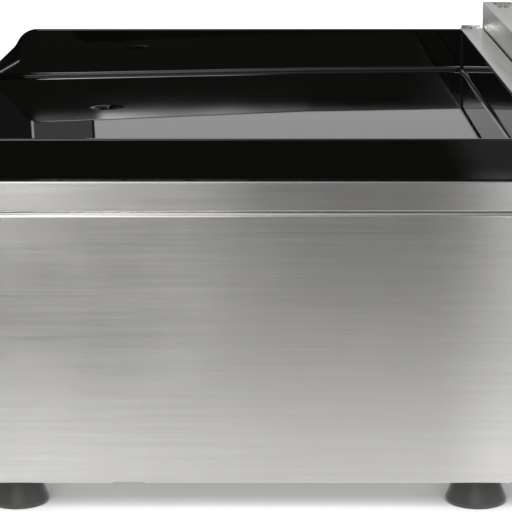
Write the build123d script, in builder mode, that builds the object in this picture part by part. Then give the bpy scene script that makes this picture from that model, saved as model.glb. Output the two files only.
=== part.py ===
"""Counter-top gas griddle: an enamelled pan in a stainless case, with a flue riser behind it.

X runs across the griddle, Y from the operator to the wall behind it, and Z up. The origin is on
the worktop, under the middle of the griddle.
"""

import os
from math import radians, tan

from build123d import *

os.makedirs("parts", exist_ok=True)

# ---------------------------------------------------------------- driving dimensions, millimetres
case_width = 600
case_depth = 475
case_height = 173
foot_height = 19.5
collar_height = 19
splash_height = 25.5
flue_height = 23
front_overhang = 30

sheet = 1.2
bend_radius = 1.6
gap = 0.3
thread_gap = 0.05
running_gap = 0.05

# Heights of the main levels.
case_z = foot_height
collar_z = case_z + case_height
ledge_z = collar_z + collar_height
rim_z = ledge_z + splash_height
flue_z = rim_z + flue_height
half_width = case_width / 2
inner_half = half_width - sheet
front_y = -case_depth / 2
rear_y = case_depth / 2

# Case.
panel_top_flange = 6
panel_bottom_flange = 16
lift_slot_length = 20
lift_slot_width = 6
lift_slot_setback = 162.5
lift_slot_inset = 63.5
post_leg = 18
post_wall = 1.5

# Collar round the pan.
collar_inset = 1.5
ledge_width = 5
collar_bend = 1.3
ledge_bend = 0.9
collar_corner_radius = 4
ledge_nick_pitch = 39.2
ledge_nick_start = 2.8
ledge_nick_length = 3.2
ledge_nick_depth = 2.4
ledge_nick_count = 9
collar_end_drop = 2

# Flue riser and the ledge strip in front of it.
flue_depth = 34.7
flue_gap = 1
strip_width = 18.5
strip_hem = 3
strip_end_lip = 2
flue_border = 7.4
flue_slot_width = 14
outlet_length = 26
outlet_height = 6
outlet_count = 14
outlet_margin = 33.5
flue_opening_radius = 3
deflector_wall = 1
deflector_foot = 7
deflector_rise = 20
deflector_lean = 6
deflector_top_gap = 6
cover_screw_inset = 25.5
cover_screw_pitch = 5.2
cover_screw_setback = 2.7
cover_screw_radius = 1.2
cover_screw_head = 1.9
cover_screw_height = 0.8
cover_screw_length = 6
strip_bend = 0.9

# Griddle pan.
pan_wall = 3
pan_floor = 5
pan_front_gap = 7.5
pan_rear_depth = 35
rear_slope = 0.5
front_slope = 1.2
floor_bend_setback = 275
shoulder_back = 33.7
shoulder_radius = 19
knee_back = 25.8
knee_drop = 14.5
knee_radius = 20
lip_drop = 39.1
pan_base_radius = 3
rim_radius = 1
pan_corner_radius = 1.5
front_flare = 1.5
flare_start = 29
drain_x = -98
drain_setback = 118
drain_radius = 11
drain_edge_radius = 2.5
chute_radius = 15
chute_clearance = 4
pad_radius = 9
stud_radius = 3
stud_length = 18

# Rails that carry the pan.
rail_depth = 18
rail_height = 12
rail_wall = 1.5
rail_drop = 8
rail_inset = 75
rail_end_height = 20
front_rail_setback = 82.5
rear_rail_inset = 87.5
nut_flats = 10
nut_height = 5

# Feet.
foot_radius = 19.5
foot_top_radius = 12.5
foot_edge = 1.4
foot_bulge = 0.2
foot_inset = 27
foot_front_setback = 90.5
foot_rear_inset = 92.5
foot_screw_radius = 2.5
foot_recess = 7
foot_head_height = 2.4
foot_screw_end = 5

# Fasteners of the case.
screw_radius = 2
screw_head_radius = 3.2
screw_head_height = 2.2
base_screw_inset = 9
base_screw_offset = -5
base_screw_pitch = 116
base_screw_length = 8
wall_screw_margin = 14
wall_screw_inset = 10
wall_screw_length = 9

# Air openings.
vent_length = 30
vent_width = 6
vent_pitch_x = 42
vent_pitch_y = 18
vent_columns = 11
vent_rows = 8
louvre_length = 44
louvre_width = 6
louvre_pitch_x = 60
louvre_pitch_z = 13
louvre_columns = 7
louvre_rows = 5

# Controls.
control_z = 140
burner_inset = 155
knob_radius = 22
knob_skirt_radius = 25
knob_skirt_height = 7
push_travel = 4
knob_clearance = 1.5
stem_radius = 4
plunger_radius = 6
bezel_radius = 29
bezel_thickness = 1.5
igniter_radius = 9
igniter_travel = 5
igniter_button_radius = 6.5
igniter_reach = 12
igniter_length = 40
igniter_flange = 12
igniter_flange_thickness = 2
igniter_nut_thickness = 4
igniter_bore_depth = 20
knob_grip_width = 13
knob_taper = 2
pointer_width = 2
pointer_depth = 0.8

# Gas line.
manifold_radius = 8
manifold_drop = 24
valve_width = 26
valve_length = 34
valve_height = 30
valve_setback = 8
manifold_boss_radius = 7
manifold_end = 22
pipe_wall = 1.5
feed_inset = 38
feed_bend = 20
feed_link = 40
inlet_z = 58
inlet_radius = 10.48
inlet_collar_radius = 14
inlet_collar_length = 12
inlet_nut_length = 6
feed_radius = 7
injector_radius = 5
injector_bore = 1
injector_length = 10
plunger_length = 18
plunger_proud = 6
plunger_room = 8
stem_in_knob = 14

# Burners.
burner_radius = 14
burner_wall = 1.5
venturi_radius = 12
header_radius = 13
burner_leg_spread = 66
burner_header_setback = 157.5
burner_end_inset = 97.5
burner_port_radius = 1.5
burner_port_count = 14
burner_port_margin = 19
venturi_gap = 1
bracket_wall = 1.5
bracket_margin = 20
bracket_foot = 12
rear_bracket_inset = 20
pilot_setback = 28
pilot_spacing = 11
pilot_shelf_z = 126
pilot_shelf_depth = 20
pilot_radius = 4
probe_radius = 3
electrode_radius = 3.5
electrode_wire_radius = 0.8
pilot_rise = 26
pilot_tail = 14

# Heat tray and shield.
tray_z = 100
tray_front_setback = 57.5
tray_rear_inset = 41.5
tray_flange = 14
tray_vent_rows = 5
shield_foot = 10

# Grease drawer.
drawer_width = 300
drawer_height = 52
drawer_length = 168
drawer_wall = 1
drawer_clearance = 2
drawer_front_margin = 7
drawer_front_thickness = 1.5
runner_lift = 8
runner_shelf = 8
runner_foot = 12
runner_guide = 12
handle_span = 120
handle_radius = 4
handle_bend = 10

# ---------------------------------------------------------------- places worked out from the sizes
collar_half = half_width - collar_inset
collar_front_y = front_y + collar_inset
collar_rear_y = rear_y - collar_inset
pan_half = collar_half - ledge_width
flue_rear_y = collar_rear_y
flue_front_y = flue_rear_y - flue_depth
strip_rear_y = flue_front_y - flue_gap
strip_front_y = strip_rear_y - strip_width
pan_rear_y = strip_front_y + sheet + gap + pan_wall
pan_front_y = front_y + pan_front_gap
inner_front_y = pan_front_y + pan_wall
inner_rear_y = pan_rear_y - pan_wall
floor_bend_y = pan_front_y + floor_bend_setback
rear_floor_z = rim_z - pan_rear_depth
bend_floor_z = rear_floor_z - (inner_rear_y - floor_bend_y) * tan(radians(rear_slope))
front_floor_z = bend_floor_z - (floor_bend_y - inner_front_y) * tan(radians(front_slope))
shoulder_y = pan_front_y + shoulder_back
knee_y = pan_front_y + knee_back
knee_z = rim_z - knee_drop
lip_z = rim_z - lip_drop
lip_slope = (knee_z - lip_z) / knee_back
chute_top_z = bend_floor_z - pan_floor - (floor_bend_setback - drain_setback) * tan(radians(front_slope))
drain_y = pan_front_y + drain_setback
lift_slots_y = (front_y + lift_slot_setback, rear_y - lift_slot_inset)
foot_x = half_width - foot_inset
foot_front_y = front_y + foot_front_setback
foot_rear_y = rear_y - foot_rear_inset
rail_x = half_width - rail_inset
front_rail_y = front_y + front_rail_setback
rear_rail_y = rear_y - rear_rail_inset
cover_screw_x = pan_half - cover_screw_inset
outlet_pitch = (2 * (pan_half - outlet_margin) - outlet_length) / (outlet_count - 1)
burner_x = half_width - burner_inset
burner_header_y = front_y + burner_header_setback
burner_end_y = rear_y - burner_end_inset
burner_port_pitch = (burner_end_y - burner_header_y - 2 * burner_port_margin) / (burner_port_count - 1)
rear_bracket_y = burner_end_y - rear_bracket_inset
pilot_y = burner_header_y + pilot_setback
feed_x = half_width - feed_inset
tray_front_y = front_y + tray_front_setback
tray_rear_y = rear_y - tray_rear_inset
base_top_z = case_z + 2 * sheet
rail_top_z = front_floor_z - pan_floor - rail_drop
valve_front_y = front_y + sheet + valve_setback
valve_rear_y = valve_front_y + valve_length
manifold_y = valve_front_y + valve_length / 2
manifold_z = control_z - manifold_drop
venturi_front_y = valve_rear_y + injector_length + venturi_gap
shield_y = tray_front_y + sheet
front_bracket_y = shield_y + shield_foot + gap
wall_bottom_z = case_z + sheet + bend_radius + running_gap
wall_top_z = collar_z - sheet - bend_radius - running_gap
wall_middle_z = (wall_bottom_z + wall_top_z) / 2
base_half = inner_half - bend_radius
fascia_flange = pan_front_gap - sheet - gap
drawer_opening_z = base_top_z + runner_lift
drawer_bottom_z = drawer_opening_z + gap
drawer_rear_y = front_y + drawer_length
chute_bottom_z = drawer_bottom_z + drawer_height + chute_clearance
strip_half = pan_half
deflector_bend_z = ledge_z + deflector_rise
knob_back_y = front_y - bezel_thickness - push_travel - knob_clearance
knob_front_y = front_y - front_overhang


STANDING = (Align.CENTER, Align.CENTER, Align.MIN)
HANGING = (Align.CENTER, Align.CENTER, Align.MAX)


def write_part(builder, node):
    """Labels a finished piece and writes it as its own STEP file."""
    builder.part.label = node
    export_step(builder.part, f"parts/{node}.step")


def nearest_vertex(sketch, y, z):
    """The vertex of a sketch on the YZ plane that is closest to a place there."""
    return sketch.vertices().sort_by_distance((y, z))[0]


def facing_front(x, y, z):
    """A plane at a point, whose normal points at the operator."""
    return Plane(origin=(x, y, z), x_dir=(1, 0, 0), z_dir=(0, -1, 0))


def facing_rear(x, y, z):
    """A plane at a point, whose normal points at the wall behind the griddle."""
    return Plane(origin=(x, y, z), x_dir=(-1, 0, 0), z_dir=(0, 1, 0))


# ---------------------------------------------------------------- feet
foot_places = {
    "front_left": (-foot_x, foot_front_y),
    "front_right": (foot_x, foot_front_y),
    "rear_left": (-foot_x, foot_rear_y),
    "rear_right": (foot_x, foot_rear_y),
}
for place, (x, y) in foot_places.items():
    with BuildPart() as foot:
        with BuildSketch(Plane.XZ.offset(-y)):
            with BuildLine():
                base = Polyline(
                    (x, case_z + sheet), (x, 0), (x + foot_radius, 0), (x + foot_radius, 2 * foot_edge)
                )
                side = ThreePointArc(
                    base @ 1,
                    (x + (foot_radius + foot_top_radius) / 2 + foot_bulge, foot_height / 2 + foot_edge),
                    (x + foot_top_radius, foot_height),
                )
                Polyline(side @ 1, (x + foot_top_radius, case_z + sheet), base @ 0)
            make_face()
        revolve(axis=Axis((x, y, 0), (0, 0, 1)))
        fillet(foot.faces().sort_by(Axis.Z)[0].edges(), foot_edge)
        with Locations((x, y, 0)):
            Cylinder(foot_recess, foot_height / 2, align=STANDING, mode=Mode.SUBTRACT)
            Cylinder(
                foot_screw_radius + thread_gap, case_z + sheet, align=STANDING, mode=Mode.SUBTRACT
            )
    write_part(foot, f"foot_{place}")

foot_head_z = foot_height / 2
foot_screw_top_z = base_top_z + foot_screw_end
with BuildPart() as foot_screws:
    for x, y in foot_places.values():
        with Locations((x, y, foot_head_z)):
            Cylinder(foot_screw_radius, foot_screw_top_z - foot_head_z, align=STANDING)
            Cylinder(foot_recess - 1.5, foot_head_height, align=HANGING)
write_part(foot_screws, "foot_screws")

# ---------------------------------------------------------------- case
base_screw_places = [
    (sign * (half_width - base_screw_inset), base_screw_offset + base_screw_pitch * step)
    for sign in (-1, 1)
    for step in (-1.5, -0.5, 0.5, 1.5)
]
with BuildPart() as base_tray:
    with BuildSketch(Plane.XY.offset(case_z + sheet)):
        Rectangle(2 * base_half, case_depth - 2 * sheet)
        with GridLocations(vent_pitch_x, vent_pitch_y, vent_columns, vent_rows):
            SlotOverall(vent_length, vent_width, mode=Mode.SUBTRACT)
        with Locations(*foot_places.values()):
            Circle(foot_screw_radius + gap, mode=Mode.SUBTRACT)
        with Locations(*base_screw_places):
            Circle(screw_radius + thread_gap, mode=Mode.SUBTRACT)
    extrude(amount=sheet)
write_part(base_tray, "base_tray")

panel_middle_z = case_z + case_height / 2
for side, sign in (("left", -1), ("right", 1)):
    with BuildPart() as side_panel:
        with BuildSketch(Plane.XZ) as section:
            with Locations((sign * (half_width - panel_bottom_flange / 2), panel_middle_z)):
                Rectangle(panel_bottom_flange, case_height)
            with Locations((sign * (inner_half - panel_bottom_flange / 2), panel_middle_z)):
                Rectangle(panel_bottom_flange, case_height - 2 * sheet, mode=Mode.SUBTRACT)
            with Locations((sign * (half_width - panel_bottom_flange), collar_z)):
                Rectangle(2 * (panel_bottom_flange - panel_top_flange), 3 * sheet, mode=Mode.SUBTRACT)
            outer_corners = section.vertices().filter_by_position(
                Axis.X, sign * half_width - thread_gap, sign * half_width + thread_gap
            )
            fillet(outer_corners, bend_radius + sheet)
            inner_corners = section.vertices().filter_by_position(
                Axis.X, sign * inner_half - thread_gap, sign * inner_half + thread_gap
            )
            fillet(inner_corners, bend_radius)
        extrude(amount=case_depth / 2, both=True)
        with BuildSketch(Plane.XY.offset(case_z)):
            for y in lift_slots_y:
                with Locations((sign * (half_width - lift_slot_width / 2), y)):
                    Rectangle(lift_slot_width, lift_slot_length)
            with Locations(*[place for place in base_screw_places if place[0] * sign > 0]):
                Circle(screw_radius + thread_gap)
            with Locations(*[place for place in foot_places.values() if place[0] * sign > 0]):
                Circle(foot_top_radius + gap)
        extrude(amount=sheet, mode=Mode.SUBTRACT)
    write_part(side_panel, f"side_panel_{side}")

post_places = [
    (-inner_half, front_y + sheet, 1, 1),
    (inner_half, front_y + sheet, -1, 1),
    (-inner_half, rear_y - sheet, 1, -1),
    (inner_half, rear_y - sheet, -1, -1),
]
wall_screw_z = [base_top_z + wall_screw_margin, collar_z - wall_screw_margin]
with BuildPart() as corner_posts:
    for x, y, to_x, to_y in post_places:
        with BuildSketch(Plane.XY.offset(wall_bottom_z)):
            with Locations((x + to_x * post_leg / 2, y + to_y * post_leg / 2)):
                Rectangle(post_leg, post_leg)
                with Locations((to_x * post_wall, to_y * post_wall)):
                    Rectangle(post_leg, post_leg, mode=Mode.SUBTRACT)
        extrude(amount=wall_top_z - wall_bottom_z)
        for z in wall_screw_z:
            with Locations(facing_front(x + to_x * wall_screw_inset, y, z)):
                Cylinder(screw_radius + thread_gap, 4 * post_wall, mode=Mode.SUBTRACT)
write_part(corner_posts, "corner_posts")

wall_screw_x = inner_half - wall_screw_inset
wall_screw_places = [(side * wall_screw_x, z) for side in (-1, 1) for z in wall_screw_z]
top_tab_half = half_width - panel_top_flange - gap
base_tab_half = half_width - panel_bottom_flange - gap


def wall_outline():
    """The plate between the side panels, with one tab above and one below that reach past them."""
    with Locations((0, wall_middle_z)):
        Rectangle(2 * inner_half, wall_top_z - wall_bottom_z)
        Rectangle(2 * top_tab_half, collar_z - wall_middle_z, align=(Align.CENTER, Align.MIN))
        Rectangle(2 * base_tab_half, wall_middle_z - case_z, align=(Align.CENTER, Align.MAX))
    with Locations(*wall_screw_places):
        Circle(screw_radius + thread_gap, mode=Mode.SUBTRACT)


with BuildPart() as rear_panel:
    with BuildSketch(Plane.XZ.offset(sheet - rear_y)):
        wall_outline()
        with Locations((0, wall_middle_z)):
            with GridLocations(louvre_pitch_x, louvre_pitch_z, louvre_columns, louvre_rows):
                SlotOverall(louvre_length, louvre_width, mode=Mode.SUBTRACT)
        with Locations((feed_x, inlet_z)):
            Circle(inlet_radius + gap, mode=Mode.SUBTRACT)
    extrude(amount=-sheet)
write_part(rear_panel, "rear_panel")

drawer_opening_height = drawer_height + 2 * drawer_clearance
drawer_opening_middle_z = drawer_opening_z - drawer_clearance + drawer_opening_height / 2
with BuildPart() as control_fascia:
    with BuildSketch(Plane.XZ.offset(-front_y)):
        wall_outline()
        with Locations((0, drawer_opening_middle_z)):
            RectangleRounded(
                drawer_width + 2 * drawer_clearance,
                drawer_opening_height,
                drawer_clearance,
                mode=Mode.SUBTRACT,
            )
        with Locations((-burner_x, control_z), (burner_x, control_z)):
            Circle(plunger_radius + gap, mode=Mode.SUBTRACT)
        with Locations((0, control_z)):
            Circle(igniter_radius + gap, mode=Mode.SUBTRACT)
    extrude(amount=-sheet)
    with BuildSketch(Plane.XY.offset(collar_z - sheet)):
        with Locations((0, front_y + sheet + fascia_flange / 2)):
            Rectangle(2 * top_tab_half, fascia_flange)
    extrude(amount=sheet)
write_part(control_fascia, "control_fascia")

with BuildPart() as case_screws:
    with Locations(*[(x, y, case_z) for x, y in base_screw_places]):
        Cylinder(screw_radius, base_screw_length, align=STANDING)
        Cylinder(screw_head_radius, screw_head_height, align=HANGING)
    for y, outward in ((front_y, facing_front), (rear_y, facing_rear)):
        for x, z in wall_screw_places:
            with Locations(outward(x, y, z)):
                Cylinder(screw_head_radius, screw_head_height, align=STANDING)
                Cylinder(screw_radius, wall_screw_length, align=HANGING)
write_part(case_screws, "case_screws")

# ---------------------------------------------------------------- collar that holds the pan
pan_middle_y = (pan_front_y + pan_rear_y) / 2
with BuildPart() as top_collar:
    with BuildSketch(Plane.XY.offset(collar_z)):
        Rectangle(2 * collar_half, collar_rear_y - collar_front_y)
    extrude(amount=collar_height)
    fillet(top_collar.edges().filter_by(Axis.Z), collar_corner_radius)
    fillet(top_collar.faces().sort_by(Axis.Z)[0].edges(), collar_bend)
    fillet(top_collar.faces().sort_by(Axis.Z)[-1].edges(), ledge_bend)
    with BuildSketch(Plane.XY.offset(collar_z + sheet)):
        with Locations((0, (collar_rear_y + shoulder_y) / 2)):
            Rectangle(2 * (collar_half - sheet), collar_rear_y - shoulder_y - 2 * sheet)
    extrude(amount=collar_height - 2 * sheet, mode=Mode.SUBTRACT)
    with BuildSketch(Plane.XY.offset(collar_z)):
        with Locations((0, pan_middle_y)):
            Rectangle(2 * (pan_half + gap), pan_rear_y - pan_front_y + 2 * gap)
        with Locations((0, (flue_front_y + flue_rear_y) / 2)):
            Rectangle(2 * (pan_half - flue_border), flue_slot_width)
    extrude(amount=collar_height, mode=Mode.SUBTRACT)
    with BuildSketch(Plane.YZ):
        with BuildLine():
            cut_z = lip_z - collar_end_drop
            Polyline(
                (front_y, ledge_z + sheet),
                (front_y, cut_z),
                (pan_front_y, cut_z),
                (pan_front_y + (ledge_z + sheet - cut_z) / lip_slope, ledge_z + sheet),
                close=True,
            )
        make_face()
    extrude(amount=half_width, both=True, mode=Mode.SUBTRACT)
    with BuildSketch(Plane.XY.offset(ledge_z - sheet)):
        for x in (-pan_half, pan_half):
            for step in range(ledge_nick_count):
                y = ledge_nick_start + ledge_nick_pitch * (step - ledge_nick_count // 2)
                with Locations((x, y)):
                    Rectangle(2 * ledge_nick_depth, ledge_nick_length)
    extrude(amount=sheet, mode=Mode.SUBTRACT)
write_part(top_collar, "top_collar")

# ---------------------------------------------------------------- griddle pan
underside_bend_z = bend_floor_z - pan_floor
flare_y = pan_front_y + flare_start
inner_pan_half = pan_half - pan_wall


def underside_z(y):
    """Height of the pan's underside at a distance from front to rear."""
    slope = rear_slope if y > floor_bend_y else front_slope
    return bend_floor_z - pan_floor + (y - floor_bend_y) * tan(radians(slope))


def hollow(back_y, back_z, floor_front_z, corner_radius):
    """The space inside the pan above one flat stretch of floor, with rounded edges along it."""
    floor_slope = (back_z - floor_front_z) / (back_y - inner_front_y)
    with BuildPart() as space:
        with BuildSketch(Plane.YZ):
            with BuildLine():
                Polyline(
                    (inner_front_y, floor_front_z),
                    (back_y, back_z),
                    (back_y, rim_z + pan_floor),
                    (inner_front_y, rim_z + pan_floor),
                    close=True,
                )
            make_face()
        extrude(amount=inner_pan_half, both=True)
        if corner_radius:
            fillet(space.edges().filter_by(Axis.Z).group_by(Axis.Y)[-1], corner_radius)
            fillet(space.faces().sort_by(Axis.Z)[0].edges(), pan_base_radius)
        else:
            floor_edges = space.faces().sort_by(Axis.Z)[0].edges().sort_by(Axis.Y)
            fillet(floor_edges[:-1], pan_base_radius)
    return space.part


main_floor_front_z = rear_floor_z - (inner_rear_y - inner_front_y) * tan(radians(rear_slope))
with BuildPart() as pan_cavity:
    add(hollow(inner_rear_y, rear_floor_z, main_floor_front_z, pan_corner_radius))
    add(hollow(floor_bend_y, bend_floor_z, front_floor_z, 0))

with BuildPart() as griddle_pan:
    with BuildSketch(Plane.YZ) as outline:
        with BuildLine():
            Polyline(
                (pan_rear_y, rear_floor_z - pan_floor),
                (pan_rear_y, rim_z),
                (shoulder_y, rim_z),
                (knee_y, knee_z),
                (pan_front_y, lip_z),
                (pan_front_y, front_floor_z - pan_floor),
                (floor_bend_y, underside_bend_z),
                close=True,
            )
        make_face()
        fillet(nearest_vertex(outline, shoulder_y, rim_z), shoulder_radius)
        fillet(nearest_vertex(outline, knee_y, knee_z), knee_radius)
    extrude(amount=pan_half, both=True)
    fillet(griddle_pan.edges().filter_by(Axis.Z).group_by(Axis.Y)[-1], pan_corner_radius + pan_wall)
    add(pan_cavity.part, mode=Mode.SUBTRACT)
    rim_edges = [
        edge
        for edge in griddle_pan.edges().filter_by(Axis.Y)
        if edge.center().Z > rim_z - thread_gap
    ]
    fillet(rim_edges, rim_radius)
    with BuildSketch(Plane.XY.offset(front_floor_z + pan_base_radius)):
        for side in (-1, 1):
            with BuildLine():
                Polyline(
                    (side * (inner_pan_half - gap), flare_y),
                    (side * inner_pan_half, flare_y),
                    (side * (inner_pan_half + front_flare), inner_front_y),
                    (side * (inner_pan_half - gap), inner_front_y),
                    close=True,
                )
            make_face()
    extrude(amount=lip_drop, mode=Mode.SUBTRACT)
    with Locations((drain_x, drain_y, front_floor_z)):
        Cylinder(drain_radius, 4 * pan_floor, mode=Mode.SUBTRACT)
    drain_top = (drain_x, drain_y, underside_z(drain_y) + pan_floor)
    fillet(griddle_pan.edges().sort_by_distance(drain_top)[0], drain_edge_radius)
    for y in (front_rail_y, rear_rail_y):
        with Locations((-rail_x, y, rail_top_z), (rail_x, y, rail_top_z)):
            Cylinder(pad_radius, underside_z(y) + pan_floor / 2 - rail_top_z, align=STANDING)
            Cylinder(stud_radius, stud_length, align=HANGING)
write_part(griddle_pan, "griddle_pan")

with BuildPart() as drain_chute:
    with BuildSketch(Plane.XY.offset(chute_bottom_z)):
        with Locations((drain_x, drain_y)):
            Circle(chute_radius)
            Circle(chute_radius - sheet, mode=Mode.SUBTRACT)
    extrude(amount=chute_top_z - chute_bottom_z)
    with BuildSketch(Plane.YZ.offset(drain_x)):
        with BuildLine():
            chute_reach = 2 * chute_radius
            Polyline(
                (drain_y - chute_reach, underside_z(drain_y - chute_reach)),
                (drain_y + chute_reach, underside_z(drain_y + chute_reach)),
                (drain_y + chute_reach, rim_z),
                (drain_y - chute_reach, rim_z),
                close=True,
            )
        make_face()
    extrude(amount=chute_reach, both=True, mode=Mode.SUBTRACT)
write_part(drain_chute, "drain_chute")

# ---------------------------------------------------------------- rails under the pan
for node, y in (("pan_rail_front", front_rail_y), ("pan_rail_rear", rear_rail_y)):
    with BuildPart() as pan_rail:
        with BuildSketch(Plane.YZ):
            with Locations((y, rail_top_z - rail_height / 2)):
                Rectangle(rail_depth, rail_height)
                with Locations((0, -rail_wall)):
                    Rectangle(rail_depth - 2 * rail_wall, rail_height, mode=Mode.SUBTRACT)
        extrude(amount=inner_half - rail_wall, both=True)
        for side in (-1, 1):
            with BuildSketch(Plane.YZ.offset(side * (inner_half - rail_wall / 2))):
                with Locations((y, rail_top_z - rail_end_height / 2)):
                    Rectangle(rail_depth, rail_end_height)
            extrude(amount=rail_wall / 2, both=True)
        with Locations((-rail_x, y, rail_top_z), (rail_x, y, rail_top_z)):
            Cylinder(stud_radius + gap, 2 * rail_wall, mode=Mode.SUBTRACT)
    write_part(pan_rail, node)

with BuildPart() as pan_nuts:
    for y in (front_rail_y, rear_rail_y):
        for x in (-rail_x, rail_x):
            with BuildSketch(Plane.XY.offset(rail_top_z - rail_wall)):
                with Locations((x, y)):
                    Circle(nut_flats * 0.6)
                    Circle(stud_radius + thread_gap, mode=Mode.SUBTRACT)
            extrude(amount=-sheet)
            with BuildSketch(Plane.XY.offset(rail_top_z - rail_wall - sheet)):
                with Locations((x, y)):
                    RegularPolygon(nut_flats / 2, 6, major_radius=False)
                    Circle(stud_radius + thread_gap, mode=Mode.SUBTRACT)
            extrude(amount=-nut_height)
write_part(pan_nuts, "pan_nuts")

# ---------------------------------------------------------------- flue riser behind the pan
flue_middle_y = (flue_front_y + flue_rear_y) / 2
flue_half = collar_half
cover_z = flue_z - sheet
with BuildPart() as flue_box:
    with BuildSketch(Plane.XY.offset(ledge_z)):
        with Locations((0, flue_middle_y)):
            Rectangle(2 * flue_half, flue_depth)
    extrude(amount=flue_z - ledge_z)
    fillet(flue_box.edges().filter_by(Axis.Z), bend_radius)
    fillet(flue_box.faces().sort_by(Axis.Z)[-1].edges(), collar_bend)
    with BuildSketch(Plane.XY.offset(ledge_z)):
        with Locations((0, flue_middle_y)):
            Rectangle(2 * (flue_half - sheet), flue_depth - 2 * sheet)
    extrude(amount=flue_z - ledge_z - sheet, mode=Mode.SUBTRACT)
    with BuildSketch(Plane.XY.offset(flue_z - sheet)):
        with Locations((0, flue_middle_y)):
            RectangleRounded(
                2 * (flue_half - flue_border), flue_depth - 2 * flue_border, flue_opening_radius
            )
    extrude(amount=sheet, mode=Mode.SUBTRACT)
    with BuildSketch(Plane.XZ.offset(-flue_rear_y)):
        with Locations((0, (ledge_z + flue_z) / 2)):
            with GridLocations(outlet_pitch, 2 * outlet_height, outlet_count, 2):
                SlotOverall(outlet_length, outlet_height)
    extrude(amount=sheet, mode=Mode.SUBTRACT)
write_part(flue_box, "flue_box")

cover_screw_places = [
    (
        column * cover_screw_x,
        flue_middle_y - cover_screw_setback + row * cover_screw_pitch / 2,
        cover_z,
    )
    for column in (-1, 0, 1)
    for row in (-1, 1)
]
with BuildPart() as flue_cover:
    with BuildSketch(Plane.XY.offset(cover_z)):
        with Locations((0, flue_middle_y)):
            Rectangle(2 * (flue_half - sheet - gap), flue_depth - 2 * sheet - 2 * gap)
        with Locations(*[(x, y) for x, y, z in cover_screw_places]):
            Circle(cover_screw_radius + thread_gap, mode=Mode.SUBTRACT)
    extrude(amount=-sheet)
write_part(flue_cover, "flue_cover")

with BuildPart() as flue_cover_screws:
    with Locations(*cover_screw_places):
        Cylinder(cover_screw_head, cover_screw_height, align=STANDING)
        Cylinder(cover_screw_radius, cover_screw_length, align=HANGING)
        Cylinder(cover_screw_radius / 2, cover_screw_height, align=STANDING, mode=Mode.SUBTRACT)
write_part(flue_cover_screws, "flue_cover_screws")

with BuildPart() as flue_deflector:
    with BuildSketch(Plane.YZ):
        with BuildLine():
            foot_y_end = flue_front_y + sheet + deflector_foot
            Polyline(
                (flue_front_y + sheet, ledge_z + deflector_wall),
                (flue_front_y + sheet, ledge_z),
                (foot_y_end, ledge_z),
                (foot_y_end, ledge_z + deflector_wall),
                (flue_front_y + sheet + deflector_wall, ledge_z + deflector_wall),
                (flue_front_y + sheet + deflector_wall, deflector_bend_z),
                (flue_middle_y + deflector_lean, cover_z - sheet - deflector_top_gap),
                (flue_middle_y + deflector_lean - deflector_wall, cover_z - sheet - deflector_top_gap),
                (flue_front_y + sheet, deflector_bend_z),
                close=True,
            )
        make_face()
    extrude(amount=flue_half - flue_border, both=True)
write_part(flue_deflector, "flue_deflector")

with BuildPart() as rear_ledge:
    with BuildSketch(Plane.YZ):
        with Locations(((strip_front_y + strip_rear_y) / 2, (rim_z + ledge_z) / 2 + sheet / 2)):
            Rectangle(strip_width, rim_z + sheet - ledge_z)
        inside_corner = (strip_front_y + sheet, ledge_z)
        with Locations(inside_corner):
            Rectangle(
                strip_width - 2 * sheet, rim_z - ledge_z, align=(Align.MIN, Align.MIN), mode=Mode.SUBTRACT
            )
        with Locations((strip_front_y, ledge_z)):
            Rectangle(
                2 * sheet,
                rim_z - strip_hem + sheet - ledge_z,
                align=(Align.CENTER, Align.MIN),
                mode=Mode.SUBTRACT,
            )
    extrude(amount=strip_half, both=True)
    fillet(rear_ledge.edges().filter_by(Axis.X).group_by(Axis.Z)[-1], strip_bend)
    with BuildSketch(Plane.XY.offset(rim_z)):
        for side in (-1, 1):
            with Locations((side * strip_half, strip_front_y)):
                Rectangle(2 * (pan_wall + pan_corner_radius + gap), 4 * sheet)
    extrude(amount=-strip_hem, mode=Mode.SUBTRACT)
    for side in (-1, 1):
        with BuildSketch(Plane.YZ.offset(side * strip_half)):
            with Locations(((strip_front_y + strip_rear_y) / 2, rim_z)):
                Rectangle(
                    strip_width - 2 * strip_bend, sheet + strip_end_lip, align=(Align.CENTER, Align.MIN)
                )
        extrude(amount=-side * sheet)
write_part(rear_ledge, "rear_ledge")

# ---------------------------------------------------------------- heat tray and shield
tray_middle_y = (tray_front_y + tray_rear_y) / 2
tray_length = tray_rear_y - tray_front_y
with BuildPart() as heat_tray:
    with BuildSketch(Plane.XY.offset(tray_z)):
        with Locations((0, tray_middle_y)):
            Rectangle(2 * inner_half, tray_length)
        with Locations((0, (burner_header_y + burner_end_y) / 2)):
            with GridLocations(vent_pitch_x, 2 * vent_pitch_y, vent_columns, tray_vent_rows):
                SlotOverall(vent_length, vent_width, mode=Mode.SUBTRACT)
        with Locations((drain_x, drain_y)):
            Circle(chute_radius + gap, mode=Mode.SUBTRACT)
    extrude(amount=sheet)
    for side in (-1, 1):
        with BuildSketch(Plane.XY.offset(tray_z + sheet)):
            with Locations((side * (inner_half - sheet / 2), tray_middle_y)):
                Rectangle(sheet, tray_length)
        extrude(amount=tray_flange)
write_part(heat_tray, "heat_tray")

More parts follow.
